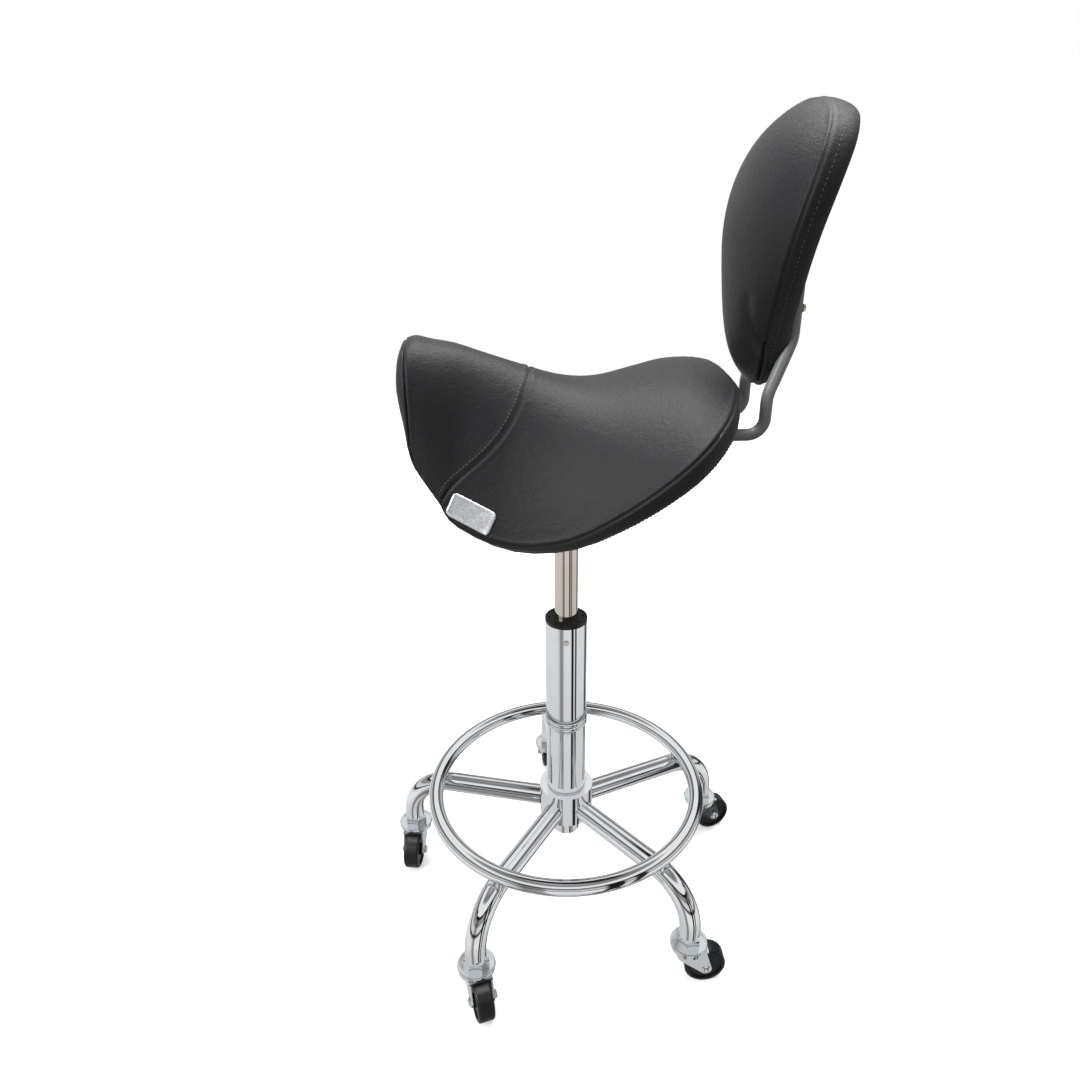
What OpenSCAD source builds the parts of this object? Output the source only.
// Rolling stylist stool: saddle seat and backrest on a gas lift, five-leg tube base, foot ring, casters.
// Origin: on the floor under the column's axis. +Z is up and -Y is the front of the seat.

/* [Casters] */
// Diameter of each caster wheel
wheel_d = 50; // [40:1:60]
// Width of each wheel's tread
wheel_w = 20; // [14:1:24]
// Distance of the wheel's axle behind the swivel axis
caster_trail = 20; // [14:1:26]
// Diameter of the axle bolts
axle_d = 6; // [4:0.5:8]
// Diameter of the ball race's dish
race_d = 45; // [38:1:54]
// Height of the ball race's dish
race_h = 4.7; // [4:0.1:8]
// Diameter of the caster stems
stem_d = 10; // [8:0.5:12]
// Thickness of the pressed fork
fork_t = 2; // [1.5:0.5:3]

/* [Base] */
// Radius of the circle that the caster stems stand on
caster_circle_r = 216; // [190:1:260]
// Turn of the first leg about the column, from the seat's left side
base_turn = 38; // [0:1:71]
// Outer diameter of the leg tubes
leg_d = 25.4; // [22:0.1:32]
// Wall of the leg tubes
leg_wall = 1.5; // [1:0.1:3]
// Height of the level stretch of the legs
leg_z = 137; // [130:1:170]
// Centreline radius of the bend at a leg's end
leg_bend_r = 56; // [40:1:58]
// Centreline radius of the foot ring
ring_r = 170; // [140:1:180]
// Diameter of the foot ring's tube
ring_d = 19; // [16:0.5:25]
// Diameter of the hub
hub_d = 69; // [64:1:80]
// Height of the hub
hub_h = 44; // [36:1:60]

/* [Column] */
// Outer diameter of the column
column_d = 50; // [46:1:58]
// Wall of the column
column_wall = 2; // [1.5:0.5:3]
// Height of the column's top above the floor
column_top = 415; // [380:5:460]
// Height of the joint between the column's two tubes
joint_z = 262; // [240:1:290]
// Diameter of the gas cylinder
lift_d = 28; // [26:1:30]
// Travel of the seat below its drawn height, and above it
lift_travel = 70; // [50:5:80]
// Diameter of the piston rod
rod_d = 10; // [8:1:12]

/* [Seat] */
// Height of the seat board's underside
board_z = 658; // [640:1:700]
// Thickness of the seat board
board_t = 12; // [9:1:18]
// Width of the saddle at its widest seam
saddle_w = 326; // [280:2:360]
// Length of the saddle from its front seam to its rear seam
saddle_l = 334; // [300:2:380]
// Height of the pommel's seam above the board's underside
pommel_h = 94; // [84:1:110]
// Drop of the flanks' lowest seam below the board's underside
flank_drop = 97; // [80:1:110]
// Depth of the band sewn round the saddle
saddle_band = 29; // [22:1:32]
// Outward swell of that band
band_swell = 8; // [4:1:10]

/* [Lever] */
// Direction that the release lever points in, from the seat's left side
lever_turn = 152; // [140:1:160]
// Length of the lever from the column's axis
lever_reach = 212; // [180:2:230]
// Diameter of the lever's rod
lever_d = 9; // [7:0.5:10]

/* [Backrest] */
// Width of the backrest at its widest seam
back_w = 224; // [190:2:260]
// Height of the backrest cushion
back_h = 274; // [240:2:300]
// Height of the backrest's lower edge above the seat board
back_rise = 40; // [34:1:60]
// Depth of the band sewn round the backrest
back_band = 26; // [20:1:32]
// Swell of the backrest's front face
back_crown = 22; // [14:1:26]
// Diameter of the two backrest tubes
back_tube_d = 13; // [10:0.5:16]
// Distance between the two backrest tubes
back_tube_gap = 80; // [70:1:90]

/* [Hidden] */
$fn = 96;

legs = 5;
running = 0.05; // radial clearance of a part that turns or slides
rest_gap = 0.3; // gap between soft or separate parts at rest
weld = 0.5; // depth that a weld joins two tubes by

// Casters, in a frame whose Z is the swivel axis and whose X is the trailing side
// Turn of each fork from its leg's own direction, as the stool was last rolled
fork_turns = [52, -5, 0, 97, 49];
wheel_r = wheel_d / 2;
boss_gap = 0.3;
cheek_in = wheel_w / 2 + 2;
cheek_out = cheek_in + fork_t;
fork_bottom = wheel_d + 2;
fork_top = fork_bottom + fork_t + 1;
race_z = fork_top + rest_gap;
race_top = race_z + race_h;
nut_z = race_top - 1.2;
nut_h = 12;
leg_end_z = nut_z + nut_h;
nut_corner_d = leg_d + 5;
stem_top = leg_end_z + 22;
rivet_h = 3.5;
axle_head_h = 3.2;
axle_nut_h = 3.5;

// Base
leg_in_r = leg_d / 2 - leg_wall;
ring_z = leg_z + leg_d / 2 + ring_d / 2 - weld
    - (leg_bend_r - sqrt(pow(leg_bend_r, 2) - pow(max(0, ring_r - caster_circle_r + leg_bend_r), 2)));
hub_top = leg_z + leg_d / 2 + 13.7;
hub_bottom = hub_top - hub_h;
tail_d = 35;
tail_h = 29;

// Column
column_r = column_d / 2;
column_in_r = column_r - column_wall;
joint_h = 15;
collar_h = 4;
bush_len = 110;
lift_r = lift_d / 2;
cap_t = 4;
bearing_h = 5;
bearing_z = hub_bottom + cap_t + 0.1;
bumper_z = bearing_z + bearing_h;
bumper_h = 15;
lift_bottom = bumper_z + bumper_h + lift_travel + 2;
gland_h = 20;
lift_wall = 2;
piston_h = 12;
piston_z = lift_bottom + gland_h + lift_travel + 4;
clip_h = 2;
clip_z = hub_bottom - 0.1 - clip_h;

// Seat fixing
plate_t = 3;
plate_z = board_z - plate_t;
socket_top = plate_z - 14;
socket_h = 42;
socket_d = 44;
pin_d = 8;
pin_rise = 4;
pin_len = 19;
pivot_r = 24;
pivot_pin_d = 6;
lever_strip = 3.4;
lever_z = socket_top + pin_rise + rest_gap + lever_strip / 2;
lever_drop = 56;
lever_knee_x = 128;
grip_len = 52;
grip_z = lever_z - lever_drop;
plate_screw_d = 6;
plate_screws_at = [[-32, -58], [32, -58], [-32, 42], [32, 42]];
board_narrow = 45;
board_wide = 85;
board_front = -104;
board_waist = 32;
board_flare = 84;
board_rear = 128;

// Saddle: rows from the front to the rear, each [seam x, seam y, seam z, spine y, spine z], as shares
// of half the width, of the length and of the height from the flanks' lowest seam to the pommel's
saddle_rows = [
    [0.13, 0.000, 0.995, -0.006, 1.000],
    [0.31, -0.003, 0.870, 0.030, 0.995],
    [0.35, 0.000, 0.590, 0.080, 0.980],
    [0.40, 0.048, 0.305, 0.150, 0.960],
    [0.49, 0.138, 0.080, 0.240, 0.905],
    [0.63, 0.293, 0.000, 0.360, 0.830],
    [0.80, 0.461, 0.075, 0.480, 0.765],
    [0.95, 0.617, 0.270, 0.600, 0.740],
    [1.00, 0.751, 0.465, 0.740, 0.775],
    [0.93, 0.850, 0.600, 0.850, 0.805],
    [0.72, 0.940, 0.710, 0.940, 0.800],
    [0.37, 1.000, 0.765, 1.000, 0.785]
];
saddle_front = -166 * saddle_l / 334;
saddle_low = board_z - flank_drop;
saddle_rise = pommel_h + flank_drop;
saddle_arch = 2.3; // power of the arch across the seat
arch_steps = 14;
under_steps = 8;
row_steps = 3;

// Backrest
back_bottom = board_z + back_rise;
back_belly_z = back_bottom + 127; // height where the backrest stands furthest forward
back_front_y = 192;
back_lean_top = 0.00217; // curvature above and below that height
back_lean_bottom = 0.0005;
// Outline from the lower edge up: [share of the height, share of half the width]
back_rows = [
    [0.000, 0.10], [0.015, 0.20], [0.06, 0.29], [0.13, 0.39], [0.22, 0.51], [0.32, 0.65], [0.43, 0.80],
    [0.55, 0.93], [0.68, 1.00], [0.79, 0.97], [0.88, 0.85], [0.95, 0.62], [0.985, 0.36], [1.000, 0.14]
];
back_board_t = 8;
back_board_w = 110;
back_board_low = back_bottom + 72;
back_board_high = back_bottom + 205;
back_tube_r = back_tube_d / 2;
back_tube_wall = 1.5;
tube_z = board_z - back_tube_r - 1;
tube_start_y = 72;
tube_heel_y = 206;
tube_knee_z = board_z + 34;
tube_neck_z = board_z + 93;
tube_top_z = board_z + 192;
tube_bends = [18, 0, 0]; // centreline radii; 0 is a tight corner
corner_bead = 0.15; // how much a tight corner stands out from the tube
clamp_ys = [90, 118];
clamp_l = 14;
clamp_tab = 14;
clamp_t = 2.5;
clamp_screw_d = 4;
back_screw_zs = [board_z + 124, board_z + 178];
back_screw_d = 5;

// How far back the backrest's seam stands at a height
function back_y(z) = back_front_y
    + (z > back_belly_z ? back_lean_top : back_lean_bottom) * pow(z - back_belly_z, 2);

tube_back_y = max(back_y(back_board_low), back_y(tube_top_z)) + back_band + rest_gap + back_tube_r;
tube_path = [[tube_start_y, tube_z], [tube_heel_y, tube_z], [tube_heel_y, tube_knee_z],
    [tube_back_y, tube_neck_z], [tube_back_y, tube_top_z]];

// ---------- shared shapes ----------

module tube(length, outer_r, inner_r) {
    difference() {
        cylinder(h = length, r = outer_r);
        translate([0, 0, -1]) cylinder(h = length + 2, r = inner_r);
    }
}

module at_leg(k) {
    rotate([0, 0, base_turn + k * 360 / legs]) children();
}

module at_caster(k) {
    at_leg(k) translate([caster_circle_r, 0, 0]) rotate([0, 0, fork_turns[k]]) children();
}

// A bend of a pipe: sweeps the annulus through the angle, starting along +X at the origin, towards -Z
module pipe_bend(bend_r, angle, outer_r, inner_r) {
    translate([0, 0, -bend_r]) rotate([-90, 0, 0]) rotate([0, 0, -90])
        rotate_extrude(angle = angle) translate([bend_r, 0]) difference() {
            circle(r = outer_r);
            circle(r = inner_r);
        }
}

module bar_bend(bend_r, angle, r) {
    translate([0, 0, -bend_r]) rotate([-90, 0, 0]) rotate([0, 0, -90])
        rotate_extrude(angle = angle) translate([bend_r, 0]) circle(r = r);
}

module screw(d, length, head_d, head_h) {
    cylinder(h = length, d = d);
    translate([0, 0, -head_h]) cylinder(h = head_h, d1 = head_d * 0.7, d2 = head_d);
}

function blend(a, b, c, d, t) =
    0.5 * (2 * b + (c - a) * t + (2 * a - 5 * b + 4 * c - d) * t * t + (3 * b - a - 3 * c + d) * t * t * t);

// Adds points between the rows of a shape, on a smooth curve through them
function smooth_rows(rows, steps) = let (last = len(rows) - 1) [
    for (i = [0 : last - 1]) for (j = [0 : steps - 1])
        blend(rows[max(i - 1, 0)], rows[i], rows[i + 1], rows[min(i + 2, last)], j / steps),
    rows[last]
];

// A closed skin over rings that have equal numbers of points, with a fan over each end ring
module skin(rings) {
    m = len(rings[0]);
    n = len(rings);
    points = [for (r = rings) for (p = r) p];
    ends = [for (r = [rings[0], rings[n - 1]]) [for (a = [0 : 2]) (min([for (p = r) p[a]]) + max([for (p = r) p[a]])) / 2]];
    sides = [for (i = [0 : n - 2]) for (j = [0 : m - 1])
        let (a = i * m + j, b = i * m + (j + 1) % m)
        each [[a, a + m, b], [b, a + m, b + m]]];
    first = [for (j = [0 : m - 1]) [n * m, j, (j + 1) % m]];
    final = [for (j = [0 : m - 1]) [n * m + 1, (n - 1) * m + (j + 1) % m, (n - 1) * m + j]];
    polyhedron(points = concat(points, ends), faces = concat(sides, first, final));
}

// ---------- base ----------

module hub() {
    color("silver") translate([0, 0, hub_bottom]) difference() {
        cylinder(h = hub_h, d = hub_d);
        translate([0, 0, -1]) cylinder(h = hub_h + 2, r = column_r + running);
        translate([0, 0, hub_h - 3]) cylinder(h = 4, r = column_r + 3);
    }
}

module base_tube() {
    color("silver") translate([0, 0, hub_bottom]) tube(joint_z - hub_bottom, column_r, column_in_r);
}

// Floor of the column with the tail that holds the rod's clip
module bottom_cap() {
    color("silver") {
        translate([0, 0, hub_bottom]) tube(cap_t, column_in_r - running, rod_d / 2 + running);
        translate([0, 0, hub_bottom - tail_h]) tube(tail_h, tail_d / 2, tail_d / 2 - 3);
    }
}

module joint_ring() {
    color("silver") translate([0, 0, joint_z]) rotate_extrude() difference() {
        union() {
            square([column_r + 0.2, joint_h]);
            translate([column_r - 1.5, 3.2]) circle(r = 3);
            translate([column_r - 1.5, 9.6]) circle(r = 3);
        }
        translate([-1, -1]) square([column_in_r + 1, joint_h + 2]);
    }
}

module outer_tube() {
    tube_z0 = joint_z + joint_h;
    color("silver") difference() {
        translate([0, 0, tube_z0]) tube(column_top - collar_h - tube_z0, column_r + 0.5, column_in_r);
        set_screw_place() cylinder(h = 20, d = 5.1);
    }
}

module guide_bush() {
    color("black") difference() {
        union() {
            translate([0, 0, column_top - collar_h - bush_len]) cylinder(h = bush_len, r = column_in_r - running);
            translate([0, 0, column_top - collar_h]) cylinder(h = collar_h, r = column_r + 0.5);
        }
        translate([0, 0, column_top - collar_h - bush_len - 1])
            cylinder(h = bush_len + collar_h + 2, r = lift_r + running);
        for (a = [0 : 45 : 315]) rotate([0, 0, a]) translate([column_r - 5, 0, column_top - 1.2]) cylinder(h = 2, d = 3);
        set_screw_place() translate([0, 0, -1]) cylinder(h = 20, d = 5.1);
    }
}

module set_screw_place() {
    rotate([0, 0, -5]) translate([column_in_r - 3, 0, column_top - 22]) rotate([0, 90, 0]) children();
}

module set_screw() {
    color("silver") set_screw_place() {
        cylinder(h = 5.6, d = 5);
        translate([0, 0, 5.6]) cylinder(h = 1, d = 6.5);
    }
}

module foot_ring() {
    color("silver") translate([0, 0, ring_z]) rotate_extrude() translate([ring_r, 0]) circle(d = ring_d);
}

module leg(k) {
    level_start = hub_d / 2 - weld - 1;
    level_end = caster_circle_r - leg_bend_r;
    drop_len = leg_z - leg_bend_r - leg_end_z;
    color("silver") at_leg(k) union() {
        translate([level_start, 0, leg_z]) rotate([0, 90, 0]) tube(level_end - level_start, leg_d / 2, leg_in_r);
        translate([level_end, 0, leg_z]) pipe_bend(leg_bend_r, 90, leg_d / 2, leg_in_r);
        translate([caster_circle_r, 0, leg_end_z]) tube(drop_len, leg_d / 2, leg_in_r);
    }
}

// The threaded plugs inside the leg ends
module leg_sockets() {
    color("gray") for (k = [0 : legs - 1]) at_leg(k) translate([caster_circle_r, 0, leg_end_z])
        tube(9, leg_in_r - running, stem_d / 2 + running);
}

// ---------- casters ----------

module caster_stem(k) {
    color("gainsboro") at_leg(k) translate([caster_circle_r, 0, 0]) {
        translate([0, 0, fork_bottom]) cylinder(h = stem_top - fork_bottom, d = stem_d);
        translate([0, 0, fork_bottom - rivet_h]) cylinder(h = rivet_h - rest_gap, d = stem_d + 4);
        translate([0, 0, fork_bottom - rest_gap]) cylinder(h = rest_gap, d = stem_d);
        translate([0, 0, nut_z]) cylinder(h = nut_h, d = nut_corner_d, $fn = 6);
    }
}

module caster_race(k) {
    lip = 1.6;
    color("gainsboro") at_leg(k) translate([caster_circle_r, 0, race_z]) rotate_extrude() difference() {
        union() {
            square([race_d / 2 - lip, race_h]);
            translate([race_d / 2 - lip, race_h - lip]) circle(r = lip);
            translate([race_d / 2 - lip, lip]) circle(r = lip);
            translate([race_d / 2 - lip, lip]) square([lip, race_h - 2 * lip]);
        }
        translate([-1, -1]) square([stem_d / 2 + running + 1, race_h + 2]);
        translate([-1, race_h - 1.2]) square([race_d / 2 - 2.6, 2]);
    }
}

// Side plate of a fork, seen from the side: a sloped tongue that ends round the axle
module cheek() {
    eye_r = axle_d / 2 + 4;
    linear_extrude(fork_t) difference() {
        union() {
            translate([caster_trail, wheel_r]) circle(r = eye_r);
            polygon([
                [-race_d * 0.33, fork_top], [-race_d * 0.36, fork_bottom - 3], [-race_d * 0.28, fork_bottom - 9],
                [caster_trail - eye_r * 0.8, wheel_r - eye_r * 0.6],
                [caster_trail + eye_r * 0.97, wheel_r + eye_r * 0.24],
                [caster_trail - 0.5, fork_bottom], [caster_trail + 1.5, fork_top]
            ]);
        }
        translate([caster_trail, wheel_r]) circle(d = axle_d);
    }
}

module caster_fork(k) {
    color("gainsboro") at_caster(k) {
        translate([0, 0, fork_bottom]) difference() {
            union() {
                cylinder(h = fork_top - fork_bottom, d = race_d - 2);
                translate([-race_d * 0.33, -cheek_out, 0])
                    cube([race_d * 0.33 + caster_trail + 1.5, 2 * cheek_out, fork_top - fork_bottom]);
            }
            translate([0, 0, -1]) cylinder(h = 6, d = stem_d + 2 * running);
        }
        for (y = [-cheek_out, cheek_in]) translate([0, y + fork_t, 0]) rotate([90, 0, 0]) cheek();
    }
}

module caster_axle(k) {
    color("gainsboro") at_caster(k) translate([caster_trail, 0, wheel_r]) rotate([90, 0, 0]) {
        translate([0, 0, -cheek_out]) cylinder(h = 2 * cheek_out, d = axle_d);
        translate([0, 0, cheek_out]) intersection() {
            cylinder(h = axle_head_h, d = axle_d + 4.5);
            translate([0, 0, -3]) sphere(r = 6.4);
        }
        translate([0, 0, -cheek_out - axle_nut_h]) cylinder(h = axle_nut_h, d = axle_d + 4.5, $fn = 6);
    }
}

module caster_wheel(k) {
    round_r = 3;
    boss_r = 8;
    color("black") at_caster(k) translate([caster_trail, 0, wheel_r]) rotate([90, 0, 0]) rotate_extrude() difference() {
        union() {
            translate([0, -cheek_in + boss_gap]) square([boss_r, 2 * (cheek_in - boss_gap)]);
            translate([0, -wheel_w / 2]) square([wheel_r - round_r, wheel_w]);
            translate([0, -wheel_w / 2 + round_r]) square([wheel_r, wheel_w - 2 * round_r]);
            for (s = [-1, 1]) translate([wheel_r - round_r, s * (wheel_w / 2 - round_r)]) circle(r = round_r);
        }
        translate([-1, -wheel_w]) square([axle_d / 2 + running + 1, 2 * wheel_w]);
        for (s = [-1, 1]) translate([boss_r, s * wheel_w / 2 - 2]) square([wheel_r - round_r - boss_r - 2, 4]);
    }
}

// ---------- gas lift ----------

module piston_rod() {
    rod_bottom = hub_bottom - 8;
    color("silver") {
        difference() {
            translate([0, 0, rod_bottom]) cylinder(h = piston_z + piston_h - rod_bottom, d = rod_d);
            translate([0, 0, clip_z]) tube(clip_h, rod_d, rod_d / 2 - 1);
        }
        translate([0, 0, piston_z]) tube(piston_h, lift_r - lift_wall - 0.1, rod_d / 2 - 1);
    }
}

module thrust_bearing() {
    color("silver") translate([0, 0, bearing_z]) tube(bearing_h, 11, rod_d / 2 + running);
}

module rod_clip() {
    color("gray") translate([0, 0, clip_z]) tube(clip_h, rod_d / 2 + 4, rod_d / 2 - 1);
}

module bumper() {
    color("dimgray") translate([0, 0, bumper_z]) tube(bumper_h, 12, rod_d / 2 + running);
}

module lift_cylinder() {
    cavity_z = lift_bottom + gland_h;
    cavity_top = socket_top - 34;
    color("silver") difference() {
        translate([0, 0, lift_bottom]) cylinder(h = socket_top - lift_bottom, r = lift_r);
        translate([0, 0, lift_bottom - 1]) cylinder(h = gland_h + 2, d = rod_d + 2 * running);
        translate([0, 0, cavity_z]) cylinder(h = cavity_top - cavity_z, r = lift_r - lift_wall);
        translate([0, 0, socket_top + pin_rise - pin_len - 4]) cylinder(h = pin_len + 4, d = pin_d + 2 * running);
    }
}

module release_pin() {
    color("silver") translate([0, 0, socket_top + pin_rise - pin_len]) cylinder(h = pin_len, d = pin_d);
}

// ---------- seat fixing ----------

module mounting_plate() {
    ear_gap = 9;
    ear_t = 4;
    rib_y = socket_d / 2 - 6;
    color("dimgray") difference() {
        union() {
            translate([-42, -70, plate_z]) cube([84, 124, plate_t]);
            translate([0, 0, socket_top - socket_h]) cylinder(h = socket_h, d = socket_d);
            rotate([0, 0, lever_turn]) for (s = [-1, 1]) {
                translate([-14, s * rib_y - 3, socket_top - 1]) cube([28, 6, plate_z - socket_top + 1]);
                translate([pivot_r - 7, s * (ear_gap + ear_t / 2) - ear_t / 2, lever_z - 8])
                    cube([14, ear_t, plate_z - lever_z + 8]);
            }
        }
        translate([0, 0, socket_top - socket_h - 1]) cylinder(h = socket_h + 2, r = lift_r);
        rotate([0, 0, lever_turn]) translate([pivot_r, 0, lever_z]) rotate([90, 0, 0])
            cylinder(h = 60, d = pivot_pin_d, center = true);
        rotate([0, 0, lever_turn]) translate([lift_r, -ear_gap, lever_z - 9]) cube([40, 2 * ear_gap, 9 + lever_strip]);
        for (p = plate_screws_at) translate([p[0], p[1], plate_z - 1]) cylinder(h = plate_t + 2, d = plate_screw_d);
    }
}

module plate_screws() {
    color("silver") for (p = plate_screws_at) translate([p[0], p[1], plate_z])
        screw(plate_screw_d, plate_t + board_t - 2, 11, 4);
}

module board_outline(grow) {
    n = board_narrow + grow;
    w = board_wide + grow;
    polygon([[-n, board_front - grow], [n, board_front - grow], [n, board_waist], [w, board_flare],
        [w, board_rear + grow], [-w, board_rear + grow], [-w, board_flare], [-n, board_waist]]);
}

module seat_board() {
    color("burlywood") difference() {
        translate([0, 0, board_z]) linear_extrude(board_t) board_outline(0);
        for (p = plate_screws_at) translate([p[0], p[1], board_z - 1])
            cylinder(h = board_t - 1, d = plate_screw_d);
        clamp_screw_places() translate([0, 0, -1]) cylinder(h = board_t - 1, d = clamp_screw_d);
    }
}

// One ring of the saddle: over the arch, down the band, and back along the hollow underside
function saddle_ring(r) = let (
    x = r[0] * saddle_w / 2,
    y = saddle_front + r[1] * saddle_l,
    z = saddle_low + r[2] * saddle_rise,
    sy = saddle_front + r[3] * saddle_l,
    sz = saddle_low + r[4] * saddle_rise,
    slope = atan(saddle_arch * max(sz - z, 0) / x),
    nose = max(0, 1 - r[1] * 8) * band_swell,
    tail = max(0, r[1] - 0.78) / 0.22 * band_swell,
    side = min(1, r[0]) * band_swell * cos(slope),
    low_x = max(x - saddle_band * sin(slope), x * 0.45),
    low_z = z - saddle_band * cos(slope),
    mid_x = (x + low_x) / 2 + side,
    mid_z = (z + low_z) / 2 - band_swell * sin(slope) * 0.6,
    under_y = y - nose,
    under_z = max(board_z, low_z)
) concat(
    [for (i = [-arch_steps : arch_steps]) let (s = sin(90 * i / arch_steps))
        [x * s, sy + (y - sy) * s * s, sz - (sz - z) * pow(abs(s), saddle_arch)]],
    [[mid_x, y - nose + tail, mid_z]],
    [for (i = [0 : 2 * under_steps]) let (s = 1 - i / under_steps)
        [low_x * s, under_y + tail * 0.4, under_z - (under_z - low_z) * pow(abs(s), 3)]],
    [[-mid_x, y - nose + tail, mid_z]]
);

module seat_cushion() {
    rings = [for (r = smooth_rows(saddle_rows, row_steps)) saddle_ring(r)];
    color("black") difference() {
        skin(rings);
        translate([0, 0, board_z - 60]) linear_extrude(60 + board_t + rest_gap) board_outline(rest_gap);
    }
}

// ---------- release lever, in a frame whose X is the way that it points ----------

module at_lever() {
    rotate([0, 0, lever_turn]) children();
}

module lever_rod(from_x, from_z, to_x, to_z, d) {
    run = to_x - from_x;
    rise = to_z - from_z;
    translate([from_x, 0, from_z]) rotate([0, 90 - atan2(rise, run), 0]) cylinder(h = norm([run, rise]), d = d);
}

module release_lever() {
    color("dimgray") at_lever() difference() {
        union() {
            translate([-2, -5, lever_z - lever_strip / 2]) cube([pivot_r, 10, lever_strip]);
            translate([pivot_r, 8.7, lever_z]) rotate([90, 0, 0]) cylinder(h = 17.4, r = 5.5);
            lever_rod(pivot_r + 2, lever_z - 1, lever_knee_x, grip_z, lever_d);
            translate([lever_knee_x, 0, grip_z]) sphere(d = lever_d);
            lever_rod(lever_knee_x, grip_z, lever_reach - 3, grip_z, lever_d);
        }
        translate([pivot_r, 0, lever_z]) rotate([90, 0, 0])
            cylinder(h = 30, d = pivot_pin_d + 2 * running, center = true);
    }
}

module lever_grip() {
    color("black") at_lever() translate([lever_reach - grip_len, 0, grip_z]) rotate([0, 90, 0]) difference() {
        union() {
            cylinder(h = grip_len - 5, d = lever_d + 6);
            translate([0, 0, grip_len - 5]) sphere(d = lever_d + 6);
        }
        translate([0, 0, -1]) cylinder(h = grip_len - 2, d = lever_d);
    }
}

module lever_pin() {
    color("silver") at_lever() translate([pivot_r, 0, lever_z]) rotate([90, 0, 0])
        cylinder(h = 30, d = pivot_pin_d, center = true);
}

// ---------- backrest ----------

function corner_angle(a, b, c) = let (u = (b - a) / norm(b - a), v = (c - b) / norm(c - b)) acos(u * v);

// A bar bent at each corner of a path in the Y-Z plane, whose points are [y, z]; a radius of 0 is a round corner
module bent_bar(path, radii, r) {
    n = len(path);
    cuts = [for (i = [0 : n - 1]) i == 0 || i == n - 1 ? 0 :
        radii[i - 1] * tan(corner_angle(path[i - 1], path[i], path[i + 1]) / 2)];
    for (i = [0 : n - 2]) {
        dir = (path[i + 1] - path[i]) / norm(path[i + 1] - path[i]);
        start = path[i] + dir * cuts[i];
        length = norm(path[i + 1] - path[i]) - cuts[i] - cuts[i + 1];
        translate([0, start[0], start[1]]) rotate([-atan2(dir[0], dir[1]), 0, 0]) cylinder(h = length, r = r);
    }
    for (i = [1 : n - 2]) {
        into = (path[i] - path[i - 1]) / norm(path[i] - path[i - 1]);
        out = (path[i + 1] - path[i]) / norm(path[i + 1] - path[i]);
        turn = into[0] * out[1] - into[1] * out[0] > 0 ? 1 : -1;
        start = path[i] - into * cuts[i];
        if (radii[i - 1] == 0)
            translate([0, path[i][0], path[i][1]]) sphere(r = r + corner_bead);
        else
            translate([0, start[0], start[1]]) rotate([-atan2(into[0], into[1]), 0, 0])
                rotate([0, 0, -90 * turn]) rotate([0, -90, 0])
                    bar_bend(radii[i - 1], corner_angle(path[i - 1], path[i], path[i + 1]), r);
    }
}

module backrest_tube(side) {
    color("dimgray") difference() {
        translate([side * back_tube_gap / 2, 0, 0]) bent_bar(tube_path, tube_bends, back_tube_r);
        translate([side * back_tube_gap / 2, 0, 0]) bent_bar(tube_path, tube_bends, back_tube_r - back_tube_wall);
        for (z = back_screw_zs) translate([side * back_tube_gap / 2, tube_back_y - 20, z]) rotate([-90, 0, 0])
            cylinder(h = 40, d = back_screw_d);
    }
}

module clamp_screw_places() {
    for (side = [-1, 1]) for (y = clamp_ys) for (s = [-1, 1])
        translate([side * back_tube_gap / 2 + s * clamp_tab, y, board_z]) children();
}

// Saddle clamps that hold the tubes under the seat board
module clamp_section() {
    grip_r = back_tube_r + clamp_t;
    difference() {
        union() {
            translate([0, tube_z]) circle(r = grip_r);
            translate([-grip_r, tube_z]) square([2 * grip_r, board_z - tube_z]);
            translate([-clamp_tab - 5, board_z - clamp_t]) square([2 * clamp_tab + 10, clamp_t]);
        }
        translate([0, tube_z]) circle(r = back_tube_r);
        translate([-back_tube_r, tube_z]) square([2 * back_tube_r, board_z - tube_z + 1]);
        translate([-grip_r - 1, board_z]) square([2 * grip_r + 2, grip_r]);
    }
}

module tube_clamps() {
    color("dimgray") difference() {
        for (side = [-1, 1]) for (y = clamp_ys)
            translate([side * back_tube_gap / 2, y + clamp_l / 2, 0]) rotate([90, 0, 0])
                linear_extrude(clamp_l) clamp_section();
        clamp_screw_places() translate([0, 0, -clamp_t - 1]) cylinder(h = clamp_t + 2, d = clamp_screw_d);
    }
}

module clamp_screws() {
    color("silver") clamp_screw_places() translate([0, 0, -clamp_t])
        screw(clamp_screw_d, clamp_t + board_t - 3, 7, 2.2);
}

// Side view of the curved board; grow widens it all round and open lets it run out of the back
module back_board_section(grow, open) {
    n = 12;
    zs = [for (i = [0 : n]) back_board_low - grow + (back_board_high - back_board_low + 2 * grow) * i / n];
    polygon(concat(
        [for (z = zs) [back_y(z) + back_band - back_board_t - grow, z]],
        [for (i = [n : -1 : 0]) [back_y(zs[i]) + back_band + open, zs[i]]]));
}

module back_board_block(grow, open) {
    w = back_board_w + 2 * grow;
    translate([-w / 2, 0, 0]) rotate([90, 0, 90]) linear_extrude(w) back_board_section(grow, open);
}

module backrest_board() {
    color("burlywood") difference() {
        back_board_block(0, 0);
        for (x = [-1, 1]) for (z = back_screw_zs)
            translate([x * back_tube_gap / 2, back_y(z) + back_band - 6, z]) rotate([-90, 0, 0])
                cylinder(h = 20, d = back_screw_d);
    }
}

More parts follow.
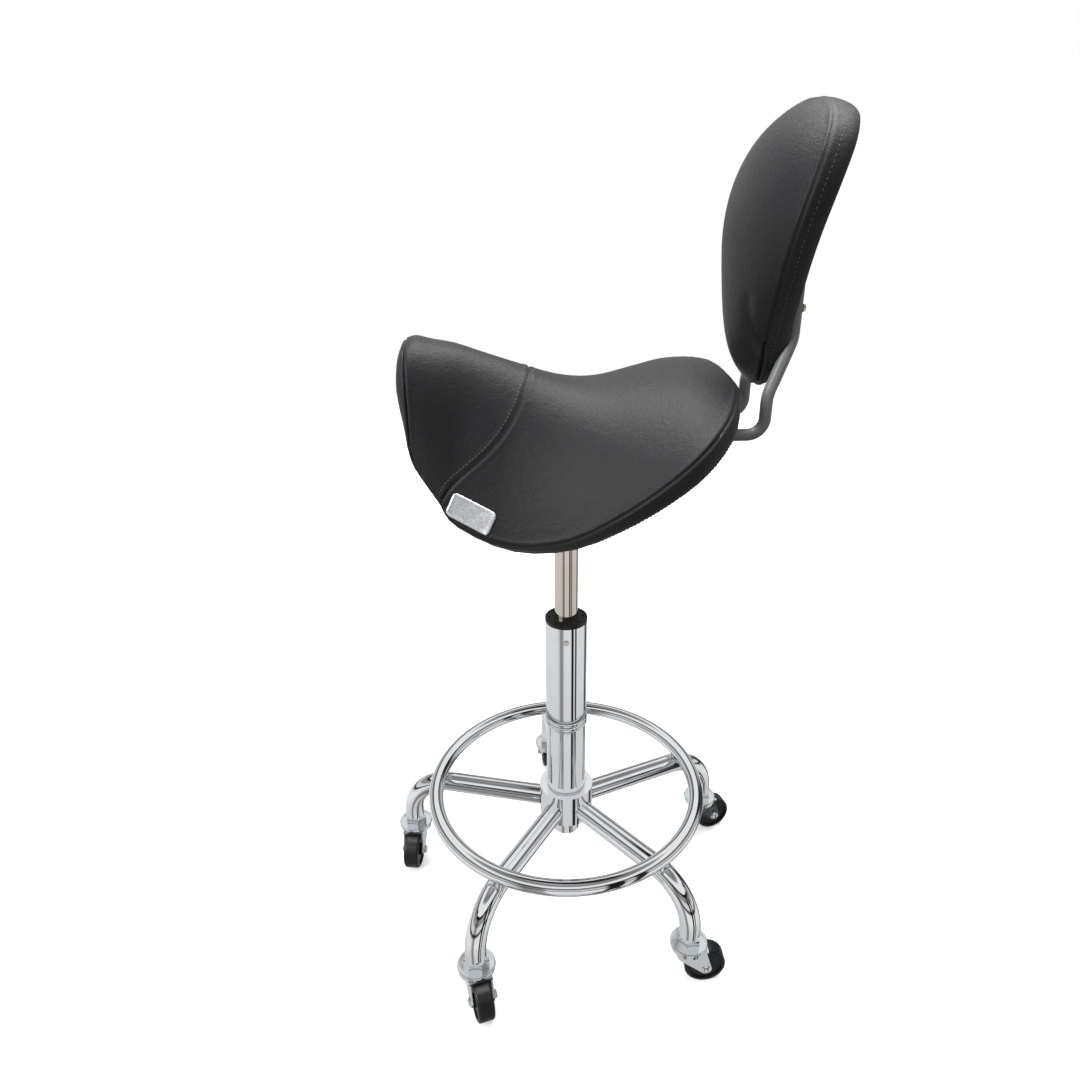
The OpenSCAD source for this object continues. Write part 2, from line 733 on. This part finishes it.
// One ring of the backrest at a height: over the crowned front, then across the back
function back_ring(r) = let (
    z = back_bottom + r[0] * back_h,
    x = r[1] * back_w / 2,
    y = back_y(z),
    swell = back_crown * (1 - pow(abs(2 * r[0] - 1), 3)) + 1,
    depth = back_band * (0.2 + 0.8 * min(1, r[0] / 0.25))
) concat(
    [for (i = [-8 : 8]) let (s = sin(90 * i / 8)) [x * s, y - swell * (1 - s * s), z]],
    [[x + 2, y + depth / 2, z]],
    [for (i = [4 : -1 : -4]) [(x - 2) * i / 4, y + depth, z]],
    [[-x - 2, y + depth / 2, z]]
);

module backrest_cushion() {
    rings = [for (r = smooth_rows(back_rows, 2)) back_ring(r)];
    color("black") difference() {
        skin(rings);
        back_board_block(rest_gap, 8);
    }
}

module backrest_screws() {
    color("silver") for (x = [-1, 1]) for (z = back_screw_zs)
        translate([x * back_tube_gap / 2, tube_back_y + back_tube_r, z]) rotate([90, 0, 0])
            screw(back_screw_d, tube_back_y + back_tube_r - back_y(z) - back_band + 5, 9, 3);
}

hub();
base_tube();
bottom_cap();
joint_ring();
outer_tube();
guide_bush();
set_screw();
foot_ring();
leg(0);  // leg_1
leg(1);  // leg_2
leg(2);  // leg_3
leg(3);  // leg_4
leg(4);  // leg_5
leg_sockets();
caster_stem(0);  // caster_1_stem
caster_stem(1);  // caster_2_stem
caster_stem(2);  // caster_3_stem
caster_stem(3);  // caster_4_stem
caster_stem(4);  // caster_5_stem
caster_race(0);  // caster_1_race
caster_race(1);  // caster_2_race
caster_race(2);  // caster_3_race
caster_race(3);  // caster_4_race
caster_race(4);  // caster_5_race
caster_fork(0);  // caster_1_fork
caster_fork(1);  // caster_2_fork
caster_fork(2);  // caster_3_fork
caster_fork(3);  // caster_4_fork
caster_fork(4);  // caster_5_fork
caster_axle(0);  // caster_1_axle
caster_axle(1);  // caster_2_axle
caster_axle(2);  // caster_3_axle
caster_axle(3);  // caster_4_axle
caster_axle(4);  // caster_5_axle
caster_wheel(0);  // caster_1_wheel
caster_wheel(1);  // caster_2_wheel
caster_wheel(2);  // caster_3_wheel
caster_wheel(3);  // caster_4_wheel
caster_wheel(4);  // caster_5_wheel
piston_rod();
thrust_bearing();
rod_clip();
bumper();
lift_cylinder();
release_pin();
mounting_plate();
plate_screws();
seat_board();
seat_cushion();
release_lever();
lever_grip();
lever_pin();
backrest_tube(1);  // backrest_tube_left
backrest_tube(-1);  // backrest_tube_right
tube_clamps();
clamp_screws();
backrest_board();
backrest_cushion();
backrest_screws();
